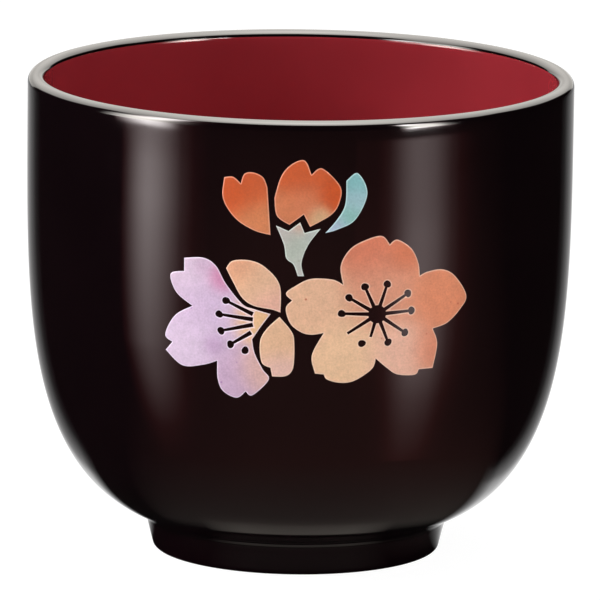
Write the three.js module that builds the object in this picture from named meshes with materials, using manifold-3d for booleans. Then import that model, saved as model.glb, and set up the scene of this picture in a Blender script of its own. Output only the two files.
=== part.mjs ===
// A lacquered sake cup: a turned wooden bowl with a foot ring seated under it, black lacquer outside, red
// lacquer inside, a black band over the lip, and a spray of cherry blossom laid on the wall as eight thin
// coloured films. Millimetres, +Z up. The origin is the middle of the foot's ground face, and the front with
// the spray looks along -Y.

import * as THREE from 'three';
import { mergeVertices } from 'three/addons/utils/BufferGeometryUtils.js';
import { TessellateModifier } from 'three/addons/modifiers/TessellateModifier.js';
import Module from 'manifold-3d';

const wasm = await Module();
wasm.setup();

// Bowl
const MOUTH_DIAMETER = 62.4;
const HEIGHT = 54.9;
const LIP_THICKNESS = 2;
const FLOOR_THICKNESS = 3.2;
const BELLY_DROP_POWER = 3.97; // how long the wall stays upright before it turns under
const BELLY_REACH_POWER = 3.48; // how square the belly's corner is

// Foot ring
const FOOT_GROUND_DIAMETER = 32.7; // where the line of its wall meets the ground
const FOOT_LEAN = THREE.MathUtils.degToRad(14.5);
const FOOT_WALL = 2.7;
const FOOT_HEIGHT = 3.4; // ground to the joint under the bowl
const FOOT_EDGE_RADIUS = 0.5;
const COVE_RADIUS = 2;
const JOINT_ANGLE = THREE.MathUtils.degToRad(30); // how far up the cove the joint lies
const SPIGOT_HEIGHT = 0.8; // the low step under the bowl that centres the ring
const SPIGOT_FIT = 0.05;

// Lacquer
const COAT = 0.3;
const BOND = 0.03; // between a coat and what it covers
const BAND_DROP_OUTSIDE = 1.5; // from the lip's centre line down the black band's outer leg
const BAND_END = THREE.MathUtils.degToRad(18); // how far up the lip's inner side the band stops

// Films of the spray
const FILM = 0.15;
const FILM_BED = 0.06; // between a film and the true curve of the wall
const FILM_MAX_EDGE = 2.5;
const SPRAY_DROP = 21.9; // from the top of the lip down to the blossoms' centre line
const HUB_RADIUS = 1.05;
const ANTHER_RADIUS = 0.43;
const FILAMENT_ROOT = 0.5;
const FILAMENT_TIP = 0.3;

// Steps of the curves
const TURNS = 44;
const BELLY_STEPS = 9;
const BELLY_CROWDING = 1.6; // draws the belly's points together toward the lip, where its angle moves fast
const LIP_STEPS = 4;
const COVE_STEPS = 3;
const EDGE_STEPS = 2;
const DISC_STEPS = 4; // in half a turn
const STEPS_PER_POINT = 2;
const TESSELLATE_ROUNDS = 8;
const HALVINGS = 50;
const WELD = 1e-5;

const mouthRadius = MOUTH_DIAMETER / 2;
const lipRadius = LIP_THICKNESS / 2;
const lipLevel = HEIGHT - lipRadius;
const wellCeiling = FOOT_HEIGHT - SPIGOT_HEIGHT - BOND - COAT;
const footInnerRadius = FOOT_GROUND_DIAMETER / 2 - FOOT_WALL;
const coveLevel = FOOT_HEIGHT - COVE_RADIUS * Math.sin(JOINT_ANGLE);

// The foot's leaning outer wall, as a radius at a height.
const footRadius = (z) => FOOT_GROUND_DIAMETER / 2 + z * Math.tan(FOOT_LEAN);
const coveCentre = new THREE.Vector2(footRadius(coveLevel) + COVE_RADIUS / Math.cos(FOOT_LEAN), coveLevel);

// A bowl's curve is a quarter of a superellipse that hangs from the lip's centre line. Angle 0 is at the lip
// and a quarter turn is at the middle of the floor. A positive inset moves the point square to the curve,
// toward the axis.
function bellyPoint(reach, depth, angle, inset) {
  const out = Math.cos(angle) ** (2 / BELLY_REACH_POWER);
  const down = Math.sin(angle) ** (2 / BELLY_DROP_POWER);
  const normal = new THREE.Vector2(
    (BELLY_REACH_POWER / reach) * out ** (BELLY_REACH_POWER - 1),
    (-BELLY_DROP_POWER / depth) * down ** (BELLY_DROP_POWER - 1),
  ).normalize();
  return new THREE.Vector2(out * reach, lipLevel - down * depth).addScaledVector(normal, -inset);
}

// Halves a span until the falling function changes sign at its middle.
function solve(low, high, falling) {
  for (let i = 0; i < HALVINGS; i++) {
    const middle = (low + high) / 2;
    if (falling(middle) > 0) low = middle;
    else high = middle;
  }
  return (low + high) / 2;
}

// The outer curve's depth and the angle where it runs into the cove are found together: at that angle the
// point one cove radius outside the curve is the cove's centre.
const coveAngle = (depth) => solve(
  0,
  Math.PI / 2,
  (angle) => bellyPoint(mouthRadius, depth, angle, -COVE_RADIUS).x - coveCentre.x,
);
const outerDepth = solve(
  0,
  2 * HEIGHT,
  (depth) => bellyPoint(mouthRadius, depth, coveAngle(depth), -COVE_RADIUS).y - coveCentre.y,
);
const outerEnd = coveAngle(outerDepth);
const innerReach = mouthRadius - LIP_THICKNESS;
const innerDepth = lipLevel - wellCeiling - FLOOR_THICKNESS;

// Radius of the finished outer wall at a height.
function wallRadius(z) {
  const down = Math.max(0, (lipLevel - z) / outerDepth);
  return mouthRadius * (1 - down ** BELLY_DROP_POWER) ** (1 / BELLY_REACH_POWER);
}

// The angle at which a bowl's curve lies a given drop below the lip's centre line.
const angleAtDrop = (drop, depth) => Math.asin((drop / depth) ** (BELLY_DROP_POWER / 2));

function belly(reach, depth, from, to, inset) {
  return Array.from({ length: BELLY_STEPS + 1 }, (_, i) => {
    const share = (i / BELLY_STEPS) ** BELLY_CROWDING;
    return bellyPoint(reach, depth, from + (to - from) * share, inset);
  });
}

function arc(x, y, radius, from, to, steps) {
  return Array.from({ length: steps + 1 }, (_, i) => {
    const angle = from + ((to - from) * i) / steps;
    return new THREE.Vector2(x + radius * Math.cos(angle), y + radius * Math.sin(angle));
  });
}

const at = (x, y) => new THREE.Vector2(x, y);

// The cove, from where the bowl runs into it down to the level given, inset into the body.
function coveToLevel(level, inset) {
  const radius = COVE_RADIUS + inset;
  const meet = bellyPoint(mouthRadius, outerDepth, outerEnd, 0);
  const from = Math.atan2(meet.y - coveCentre.y, meet.x - coveCentre.x);
  const to = Math.PI - Math.asin((level - coveCentre.y) / radius);
  return arc(coveCentre.x, coveCentre.y, radius, from, to, COVE_STEPS).slice(1);
}

// The foot's section below its joint, inset into the ring: the cove, the leaning wall, the rounded ground
// face and the inner wall up to the level given.
function footSection(top, innerTop, inset) {
  const radius = COVE_RADIUS + inset;
  const from = Math.PI - Math.asin((top - coveCentre.y) / radius);
  const edge = FOOT_EDGE_RADIUS - inset;
  const outerEdge = footRadius(FOOT_EDGE_RADIUS) - FOOT_EDGE_RADIUS / Math.cos(FOOT_LEAN);
  const innerEdge = footInnerRadius + FOOT_EDGE_RADIUS;
  return [
    ...arc(coveCentre.x, coveCentre.y, radius, from, Math.PI - FOOT_LEAN, COVE_STEPS),
    ...arc(outerEdge, FOOT_EDGE_RADIUS, edge, -FOOT_LEAN, -Math.PI / 2, EDGE_STEPS),
    ...arc(innerEdge, FOOT_EDGE_RADIUS, edge, -Math.PI / 2, -Math.PI, EDGE_STEPS),
    at(footInnerRadius + inset, innerTop),
  ];
}

// A point of the lip's round on its inner side, at an angle above the lip's centre line.
function lipPoint(radius, angle) {
  return at(mouthRadius - lipRadius - radius * Math.cos(angle), lipLevel + radius * Math.sin(angle));
}

// A revolved solid. Its section runs counterclockwise with +X to the right, and closes on itself or on the
// axis.
function turned(section, closed) {
  const points = closed ? [...section, section[0].clone()] : section;
  const geometry = new THREE.LatheGeometry(points, TURNS);
  geometry.deleteAttribute('normal');
  geometry.deleteAttribute('uv');
  geometry.rotateX(Math.PI / 2);
  return withoutSlivers(mergeVertices(geometry, WELD));
}

// Drops the triangles without area that a section leaves where it meets the axis.
function withoutSlivers(geometry) {
  const kept = [];
  const index = geometry.index.array;
  for (let i = 0; i < index.length; i += 3) {
    const [a, b, c] = index.slice(i, i + 3);
    if (a !== b && b !== c && c !== a) kept.push(a, b, c);
  }
  geometry.setIndex(kept);
  return geometry;
}

// The bowl as it leaves the lathe, smaller than the finished cup by one coat all over, with its seat for the
// ring.
function bowlCore() {
  const inset = COAT + BOND;
  const floor = wellCeiling + inset;
  const spigotRadius = footInnerRadius + inset - SPIGOT_FIT;
  return turned([
    at(0, floor),
    at(spigotRadius, floor),
    at(spigotRadius, FOOT_HEIGHT),
    ...coveToLevel(FOOT_HEIGHT, inset).reverse(),
    ...belly(mouthRadius, outerDepth, 0, outerEnd, inset).reverse(),
    ...arc(mouthRadius - lipRadius, lipLevel, lipRadius - inset, 0, Math.PI, LIP_STEPS).slice(1, -1),
    ...belly(innerReach, innerDepth, 0, Math.PI / 2, -inset),
  ]);
}

// The ring under the bowl, its flat top bonded to the bowl's seat round the spigot.
function footRingCore() {
  const top = FOOT_HEIGHT - BOND;
  return turned(footSection(top, top, COAT + BOND).reverse(), true);
}

function outerCoat() {
  const start = angleAtDrop(BAND_DROP_OUTSIDE + BOND, outerDepth);
  const face = [
    ...belly(mouthRadius, outerDepth, start, outerEnd, 0),
    ...coveToLevel(FOOT_HEIGHT, 0),
  ];
  const back = [
    ...belly(mouthRadius, outerDepth, start, outerEnd, COAT),
    ...coveToLevel(FOOT_HEIGHT, COAT),
  ];
  return turned([...back, ...face.reverse()], true);
}

function footCoat() {
  const top = FOOT_HEIGHT - BOND;
  const innerTop = wellCeiling + COAT;
  const face = footSection(top, innerTop, 0);
  const back = footSection(top, innerTop, COAT);
  return turned([...back, ...face.reverse()], true);
}

function baseCoat() {
  const radius = footInnerRadius - BOND;
  return turned([
    at(0, wellCeiling),
    at(radius, wellCeiling),
    at(radius, wellCeiling + COAT),
    at(0, wellCeiling + COAT),
  ]);
}

// The red coat climbs the lip's inner side to the black band's sharp edge.
function innerCoat() {
  return turned([
    ...belly(innerReach, innerDepth, 0, Math.PI / 2, -COAT).reverse(),
    lipPoint(lipRadius - COAT, BAND_END - BOND / lipRadius),
    lipPoint(lipRadius, BAND_END - BOND / lipRadius),
    ...belly(innerReach, innerDepth, 0, Math.PI / 2, 0),
  ]);
}

function lipBand() {
  const over = (radius) => [
    ...arc(mouthRadius - lipRadius, lipLevel, radius, 0, Math.PI, LIP_STEPS).slice(0, -1),
    lipPoint(radius, BAND_END),
  ];
  const face = [at(mouthRadius, lipLevel - BAND_DROP_OUTSIDE), ...over(lipRadius)];
  const back = [at(mouthRadius - COAT, lipLevel - BAND_DROP_OUTSIDE), ...over(lipRadius - COAT)];
  return turned([...face, ...back.reverse()], true);
}

// The spray is drawn as it lies unrolled: along the wall from the middle of the front, and up from the
// blossoms' centre line. An outline is a list of stretches. Each runs on from the last as one smooth curve
// and ends in a corner.
const SPRAY = {
  film_right_blossom: {
    colour: 0xe3a07c,
    outline: [
      [[5.0, 3.5]],
      [[4.7, 5.7], [5.8, 7.6], [7.7, 8.6], [9.4, 8.9], [10.3, 7.9]],
      [[11.2, 8.4], [12.9, 7.3], [13.8, 5.6], [14.0, 4.1]],
      [[15.0, 4.5], [16.9, 4.6], [18.6, 3.7], [20.3, 1.3], [19.5, -0.2], [17.8, -1.6], [15.9, -2.1]],
      [[16.6, -3.9], [16.2, -6.7]],
      [[14.4, -6.7]],
      [[13.9, -7.3], [11.7, -7.1], [10.3, -6.2], [9.0, -5.1]],
      [[8.6, -6.3], [6.6, -7.6], [4.9, -7.8], [3.4, -7.4], [3.0, -6.8]],
      [[2.0, -6.7]],
      [[1.6, -4.6], [2.9, -2.0]],
      [[1.5, -2.2], [0.3, -1.9], [-0.9, -0.9], [-1.4, 0.8], [-0.7, 1.7]],
      [[-1.4, 2.5], [-0.3, 3.4], [1.4, 4.2], [3.8, 4.1], [5.0, 3.5]],
    ],
    hub: [9.0, 0],
    anthers: [
      [7.5, 3.2], [10.1, 3.4], [12.6, 2.2], [13.1, 0.2], [12.4, -2.3], [10.4, -3.3], [7.3, -3.3], [4.9, 0.2],
      [5.7, 2.0],
    ],
    filaments: [
      [7.5, 3.2], [10.1, 3.4], [12.6, 2.2], [13.1, 0.2], [12.4, -2.3], [10.4, -3.3], [8.3, -2.6], [5.6, -2.1],
      [4.9, 0.2], [5.7, 2.0],
    ].map((tip) => ({ tip, root: [9.0, 0] })),
  },
  film_left_blossom: {
    colour: 0xd3b4dc,
    outline: [
      [[-13.2, 4.4]],
      [[-13.2, 5.9]],
      [[-10.9, 6.1], [-9.4, 5.3], [-8.2, 3.3], [-6.3, 1.1], [-5.0, 0.6], [-3.1, 0.1]],
      [[-4.2, -1.4], [-5.2, -2.9]],
      [[-4.9, -4.5], [-4.0, -6.3], [-3.3, -7.5], [-5.2, -9.4], [-6.0, -9.0]],
      [[-7.1, -9.8], [-8.7, -9.1], [-9.3, -7.7], [-9.3, -5.6]],
      [[-11.0, -6.2], [-13.6, -6.5], [-15.7, -4.9]],
      [[-14.8, -3.9]],
      [[-15.7, -3.1], [-14.4, -0.8], [-12.2, 0.5]],
      [[-14.2, 1.9], [-14.9, 3.9]],
    ],
    anthers: [[-8.2, 1.4], [-9.0, -0.2], [-8.8, -2.1], [-7.7, -3.6], [-6.0, -4.2]],
    filaments: [
      { tip: [-8.2, 1.4], root: [-5.1, 0] },
      { tip: [-9.0, -0.2], root: [-5.1, -0.6] },
      { tip: [-8.8, -2.1], root: [-5.1, -1.2] },
      { tip: [-7.7, -3.6], root: [-5.3, -2.1] },
    ],
  },
  film_left_blossom_upper_petal: {
    colour: 0xe2b38c,
    outline: [
      [[-8.2, 5.1]],
      [[-7.4, 6.0], [-5.3, 6.1], [-3.6, 5.3], [-2.1, 3.4], [-2.0, 0.3]],
      [[-2.9, 0.6], [-5.1, 1.0], [-6.4, 1.9], [-7.4, 3.6], [-8.2, 5.1]],
    ],
  },
  film_left_blossom_lower_petal: {
    colour: 0xdfb094,
    outline: [
      [[-2.1, -0.2]],
      [[-0.7, -1.9], [-0.4, -3.3], [-0.5, -6.0], [-1.3, -7.0], [-2.9, -7.1]],
      [[-3.1, -6.1]],
      [[-4.1, -5.5], [-4.3, -3.2], [-3.6, -1.7], [-2.1, -0.2]],
    ],
  },
  film_bud_left_petal: {
    colour: 0xdc7a50,
    outline: [
      [[-8.5, 15.4]],
      [[-7.5, 15.5], [-6.6, 14.8]],
      [[-6.2, 15.9], [-5.2, 16.1], [-4.1, 15.6], [-3.6, 14.5]],
      [[-3.2, 9.1]],
      [[-4.9, 9.5], [-6.8, 10.5], [-8.1, 11.9], [-8.7, 13.4], [-8.5, 15.4]],
    ],
  },
  film_bud_middle_petal: {
    colour: 0xdb7047,
    outline: [
      [[-2.8, 13.3]],
      [[-2.1, 15.7], [-1.0, 17.1], [0.5, 17.6], [1.3, 16.0]],
      [[2.5, 16.7], [4.5, 14.7], [4.5, 13.0], [3.6, 11.5], [1.2, 10.1]],
      [[0.5, 11.5]],
      [[-1.1, 10.3]],
      [[-2.5, 11.3], [-2.8, 13.3]],
    ],
  },
  film_bud_right_petal: {
    colour: 0x8fc0c2,
    outline: [
      [[5.2, 15.3]],
      [[6.5, 16.1], [7.6, 13.8], [6.3, 10.9], [4.3, 9.8], [2.9, 9.4]],
      [[4.2, 10.9], [5.1, 12.6], [5.2, 15.3]],
    ],
  },
  film_bud_calyx: {
    colour: 0xbcc3b6,
    outline: [
      [[-2.6, 10.2]],
      [[-1.2, 9.6]],
      [[0.1, 10.6]],
      [[0.6, 9.4]],
      [[2.4, 9.9]],
      [[1.0, 8.0], [0.3, 6.0], [0.6, 4.5]],
      [[-0.1, 4.5]],
      [[-0.6, 5.8], [-1.4, 6.5], [-1.7, 8.1], [-2.6, 10.2]],
    ],
  },
};

function outlineShape([[start], ...stretches]) {
  const shape = new THREE.Shape().moveTo(...start);
  for (const stretch of stretches) {
    if (stretch.length > 1) shape.splineThru(stretch.map((point) => at(...point)));
    else shape.lineTo(...stretch[0]);
  }
  return shape;
}

// A filament narrows from its root to its tip.
function filamentShape({ tip, root }) {
  const from = at(...root);
  const to = at(...tip);
  const side = to.clone().sub(from).normalize().rotateAround(at(0, 0), Math.PI / 2);
  return new THREE.Shape([
    from.clone().addScaledVector(side, FILAMENT_ROOT / 2),
    from.clone().addScaledVector(side, -FILAMENT_ROOT / 2),
    to.clone().addScaledVector(side, -FILAMENT_TIP / 2),
    to.clone().addScaledVector(side, FILAMENT_TIP / 2),
  ]);
}

function discShape([x, y], radius) {
  return new THREE.Shape().absarc(x, y, radius, 0, Math.PI * 2);
}

function flatSolid(shape, from, depth, curveSegments) {
  const geometry = new THREE.ExtrudeGeometry(shape, { depth, curveSegments, bevelEnabled: false });
  return merged(geometry.translate(0, 0, from));
}

function merged(geometry) {
  geometry.deleteAttribute('normal');
  geometry.deleteAttribute('uv');
  return mergeVertices(geometry, WELD);
}

function toManifold(geometry) {
  return new wasm.Manifold(new wasm.Mesh({
    numProp: 3,
    vertProperties: new Float32Array(geometry.attributes.position.array),
    triVerts: new Uint32Array(geometry.index.array),
  }));
}

function fromManifold(solid) {
  const mesh = solid.getMesh();
  const geometry = new THREE.BufferGeometry();
  geometry.setAttribute('position', new THREE.BufferAttribute(mesh.vertProperties, 3));
  geometry.setIndex(new THREE.BufferAttribute(mesh.triVerts, 1));
  return geometry;
}

// Cuts the dark stamens out of a petal film, right through to the lacquer below.
function cutStamens(geometry, { hub, anthers = [], filaments = [] }) {
  const shapes = [
    ...filaments.map(filamentShape),
    ...anthers.map((centre) => discShape(centre, ANTHER_RADIUS)),
    ...(hub ? [discShape(hub, HUB_RADIUS)] : []),
  ];
  const film = shapes.reduce(
    (solid, shape) => solid.subtract(toManifold(flatSolid(shape, -FILM, 3 * FILM, DISC_STEPS))),
    toManifold(geometry),
  );
  return fromManifold(film);
}

// Rolls a flat film onto the wall: each point keeps its distance round the mouth and its height, and follows
// the wall's radius there.
function rollOntoWall(geometry) {
  const position = geometry.attributes.position;
  const centreLine = HEIGHT - SPRAY_DROP;
  for (let i = 0; i < position.count; i++) {
    const height = centreLine + position.getY(i);
    const radius = wallRadius(height) + FILM_BED + position.getZ(i);
    const angle = position.getX(i) / mouthRadius;
    position.setXYZ(i, radius * Math.sin(angle), -radius * Math.cos(angle), height);
  }
  return geometry;
}

function film(drawing) {
  let geometry = flatSolid(outlineShape(drawing.outline), 0, FILM, STEPS_PER_POINT);
  if (drawing.anthers) geometry = cutStamens(geometry, drawing);
  geometry = new TessellateModifier(FILM_MAX_EDGE, TESSELLATE_ROUNDS).modify(geometry.toNonIndexed());
  return rollOntoWall(mergeVertices(geometry, WELD));
}

const group = new THREE.Group();

function add(name, geometry, colour, roughness) {
  geometry.computeVertexNormals();
  const material = new THREE.MeshStandardMaterial({ color: colour, roughness, metalness: 0 });
  const mesh = new THREE.Mesh(geometry, material);
  mesh.name = name;
  group.add(mesh);
}

const WOOD = 0xb98f62;
const BLACK = 0x140b0a;
const RED = 0x7a1c20;

add('bowl_core', bowlCore(), WOOD, 0.7);
add('foot_ring_core', footRingCore(), WOOD, 0.7);
add('outer_black_coat', outerCoat(), BLACK, 0.08);
add('foot_black_coat', footCoat(), BLACK, 0.08);
add('base_black_coat', baseCoat(), BLACK, 0.12);
add('inner_red_coat', innerCoat(), RED, 0.12);
add('lip_black_band', lipBand(), BLACK, 0.08);
for (const [name, drawing] of Object.entries(SPRAY)) add(name, film(drawing), drawing.colour, 0.45);

export default group;
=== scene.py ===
"""The looks of a small lacquered sake cup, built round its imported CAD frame.

Every surface is worked out in millimetres, in the frame's own axes: Z is the cup's axis, the ground is Z = 0 and the
front, with the spray, looks along -Y. Meshes are written in metres.
"""

import logging
import math
from collections.abc import Callable
from dataclasses import dataclass
from enum import Enum
from functools import cached_property

import bpy
import numpy as np
from mathutils import Matrix, Vector
from mathutils.geometry import delaunay_2d_cdt


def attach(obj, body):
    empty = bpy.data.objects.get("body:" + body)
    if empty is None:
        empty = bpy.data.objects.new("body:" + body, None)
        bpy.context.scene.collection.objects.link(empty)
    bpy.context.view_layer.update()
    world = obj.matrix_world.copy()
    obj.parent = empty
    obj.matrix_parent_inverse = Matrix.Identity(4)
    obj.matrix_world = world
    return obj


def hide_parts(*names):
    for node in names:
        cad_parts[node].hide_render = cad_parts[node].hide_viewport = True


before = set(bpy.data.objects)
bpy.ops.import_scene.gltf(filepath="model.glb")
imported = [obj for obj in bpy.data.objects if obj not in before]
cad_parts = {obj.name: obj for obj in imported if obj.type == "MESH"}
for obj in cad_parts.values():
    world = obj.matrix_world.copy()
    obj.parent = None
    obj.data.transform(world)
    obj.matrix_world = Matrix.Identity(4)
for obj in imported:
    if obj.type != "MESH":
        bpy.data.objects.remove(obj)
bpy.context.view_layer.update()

LOG = logging.getLogger("sake_cup")
MM = 0.001
BODY = "root"
WHITE = (1.0, 1.0, 1.0, 1.0)
TINY = 1e-6
NO_LENGTH = 1e-12
LATHE_CREASE = 32.0
SHARP_TURN = 0.35
BATCH = 512

Array = np.ndarray
Colour = tuple[int, int, int]
Material = bpy.types.Material
Piece = bpy.types.Object
Point = tuple[float, float]
Point3 = tuple[float, float, float]
Socket = bpy.types.NodeSocket


class Slot(Enum):
    """The material slots' names."""

    WOOD = "turned_wood"
    BLACK = "black_lacquer"
    RED = "red_lacquer"
    SALMON = "film_salmon"
    LILAC = "film_lilac"
    PEACH = "film_peach"
    VERMILION = "film_vermilion"
    TURQUOISE = "film_turquoise"
    GREY_GREEN = "film_grey_green"


def linear(colour: Colour) -> tuple[float, float, float, float]:
    """Turns a display colour of 0 to 255 into linear light, with the standard curve of two parts.

    Args:
        colour: red, green and blue, 0 to 255.

    Returns:
        Linear red, green, blue, and an alpha of 1.
    """
    share = np.array(colour, float) / 255
    light = np.where(share <= 0.04045, share / 12.92, ((share + 0.055) / 1.055) ** 2.4)
    return (*light.tolist(), 1.0)


def ease(value: Array, low: float, high: float) -> Array:
    """Rises smoothly from 0 to 1 as the value goes from low to high: t squared times (3 - 2t).

    Args:
        value: the numbers to look up.
        low: where the rise starts. A low above high makes a fall.
        high: where it ends.

    Returns:
        The eased shares, from 0 to 1.
    """
    t = np.clip((value - low) / (high - low), 0, 1)
    return t * t * (3 - 2 * t)


def follow(value: Array, curve: tuple[Point, ...]) -> Array:
    """Reads a curve of straight spans at many numbers, held at its ends.

    Args:
        value: the numbers to look up.
        curve: the curve's corners, from left to right.

    Returns:
        The curve's heights.
    """
    places, heights = zip(*curve)
    return np.interp(value, places, heights)


def make_object(name: str, points: Array, faces: list[list[int]], crease: float) -> Piece:
    """Makes a smooth-shaded mesh object at the origin and logs its size.

    Args:
        name: the piece's name.
        points: corners in millimetres, one row each.
        faces: corner numbers of every face, outward faces counterclockwise.
        crease: edges that turn by more than this angle, in degrees, stay sharp.

    Returns:
        The new object, linked to the scene.
    """
    mesh = bpy.data.meshes.new(name)
    mesh.from_pydata((points * MM).tolist(), [], faces)
    mesh.shade_smooth()
    mesh.set_sharp_from_angle(angle=math.radians(crease))
    mesh.update()
    piece = bpy.data.objects.new(name, mesh)
    bpy.context.scene.collection.objects.link(piece)
    LOG.info("%s: %d corners, %d faces", name, len(points), len(faces))
    return piece


def turned(name: str, section: Array, turns: int) -> Piece:
    """Turns a section about Z into a closed solid.

    A section point (r, z) goes to (r cos a, r sin a, z) for each angle a = 2 pi k / turns. A point on the axis becomes
    one pole corner. A section that starts and ends on the axis is closed by it, and any other closes on itself.

    Args:
        name: the piece's name.
        section: rows of (r, z) in millimetres, counterclockwise with r to the right.
        turns: steps in a full turn.

    Returns:
        The turned object.
    """
    radius, height = section[:, 0], section[:, 1]
    pole = radius < TINY
    open_ended = bool(pole[0] and pole[-1])
    first = np.concatenate(([0], np.cumsum(np.where(pole, 1, turns))[:-1]))
    angle = 2 * np.pi * np.arange(turns) / turns
    rings = [
        np.stack(np.broadcast_arrays(r * np.cos(angle), r * np.sin(angle), z), axis=1)[: 1 if on_axis else turns]
        for r, z, on_axis in zip(radius, height, pole)
    ]
    step = np.arange(turns)[:, None]
    spans = len(section) - 1 if open_ended else len(section)
    low, high = np.arange(spans), (np.arange(spans) + 1) % len(section)

    def corner(turn: Array, row: Array) -> Array:
        """Numbers of the corners at these turns and section rows."""
        return first[row] + np.where(pole[row], 0, turn % turns)

    quads = np.stack([corner(step, low), corner(step + 1, low), corner(step + 1, high), corner(step, high)], axis=2)
    quads = quads.reshape(-1, 4)
    start_pole, end_pole = quads[:, 0] == quads[:, 1], quads[:, 2] == quads[:, 3]
    faces = quads[~start_pole & ~end_pole].tolist()
    faces += quads[start_pole][:, [0, 2, 3]].tolist() + quads[end_pole][:, [0, 1, 2]].tolist()
    return make_object(name, np.concatenate(rings), faces, LATHE_CREASE)


def arc(centre: Point, radius: float, start: float, end: float, steps: int) -> Array:
    """Points of an arc: centre + radius (cos a, sin a), with a running evenly from start to end, in radians."""
    angle = np.linspace(start, end, steps + 1)
    return np.stack([centre[0] + radius * np.cos(angle), centre[1] + radius * np.sin(angle)], axis=1)


def spline_through(corners: list[Point], steps: int) -> Array:
    """A smooth curve through points: the uniform Catmull-Rom cubic, its end points doubled.

    Args:
        corners: the points it passes through.
        steps: samples in each span.

    Returns:
        The samples, without the first point.
    """
    if len(corners) == 2:
        share = np.linspace(0, 1, steps + 1)[1:, None]
        return np.array(corners[0]) * (1 - share) + np.array(corners[1]) * share
    point = np.array([corners[0], *corners, corners[-1]], float)
    before, here, after, beyond = (point[k : len(point) - 3 + k, None, :] for k in range(4))
    t = (np.arange(1, steps + 1) / steps)[None, :, None]
    slope, next_slope = (after - before) / 2, (beyond - here) / 2
    curve = (2 * here - 2 * after + slope + next_slope) * t**3
    curve = curve + (3 * after - 3 * here - 2 * slope - next_slope) * t**2 + slope * t + here
    return curve.reshape(-1, 2)


def evenly(path: Array, spacing: float) -> Array:
    """Spreads points along a closed path at an even spacing, and keeps its corners that turn sharply.

    Args:
        path: corners of the closed path, the first not repeated.
        spacing: the wanted distance between neighbours.

    Returns:
        The new corners.
    """
    closed = np.vstack([path, path[:1]])
    lengths = np.hypot(*np.diff(closed, axis=0).T)
    keep = lengths > TINY
    path, lengths = path[keep], lengths[keep]
    closed = np.vstack([path, path[:1]])
    heading = np.arctan2(*(np.diff(closed, axis=0).T[::-1]))
    turn = np.abs((heading - np.roll(heading, 1) + np.pi) % (2 * np.pi) - np.pi)
    along = np.concatenate(([0], np.cumsum(lengths)))
    total = along[-1]
    marks = along[np.flatnonzero(turn > SHARP_TURN)]
    ends = np.append(marks[1:], marks[0] + total)
    stations = np.concatenate(
        [np.linspace(a, b, max(1, round((b - a) / spacing)) + 1)[:-1] for a, b in zip(marks, ends)]
    )
    return np.stack([np.interp(stations % total, along, closed[:, axis]) for axis in (0, 1)], axis=1)


def ahead(loop: Array) -> Array:
    """Each corner's next one along a closed loop."""
    return np.roll(loop, -1, axis=0)


def edge_distance(points: Array, loops: list[Array]) -> Array:
    """Least distance from each point to closed loops, each point being dropped square onto every edge.

    Args:
        points: rows of (x, y).
        loops: corners of closed loops.

    Returns:
        One distance for each point.
    """
    start = np.vstack(loops)
    end = np.vstack([ahead(loop) for loop in loops])
    edge = end - start
    squared = np.maximum((edge**2).sum(axis=1), NO_LENGTH)
    nearest = np.empty(len(points))
    for low in range(0, len(points), BATCH):
        part = points[low : low + BATCH, None, :] - start[None]
        share = np.clip((part * edge[None]).sum(axis=2) / squared, 0, 1)
        nearest[low : low + BATCH] = np.sqrt(((part - share[..., None] * edge[None]) ** 2).sum(axis=2).min(axis=1))
    return nearest


def inside(points: Array, loop: Array) -> Array:
    """Whether points lie in a closed loop: a ray to the right crosses it an odd number of times."""
    start, end = loop, ahead(loop)
    x, y = points[:, None, 0], points[:, None, 1]
    straddles = (start[None, :, 1] > y) != (end[None, :, 1] > y)
    rise = np.where(end[:, 1] == start[:, 1], NO_LENGTH, end[:, 1] - start[:, 1])
    cross = start[None, :, 0] + (y - start[None, :, 1]) * (end[:, 0] - start[:, 0])[None] / rise[None]
    return (straddles & (x < cross)).sum(axis=1) % 2 == 1


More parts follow.
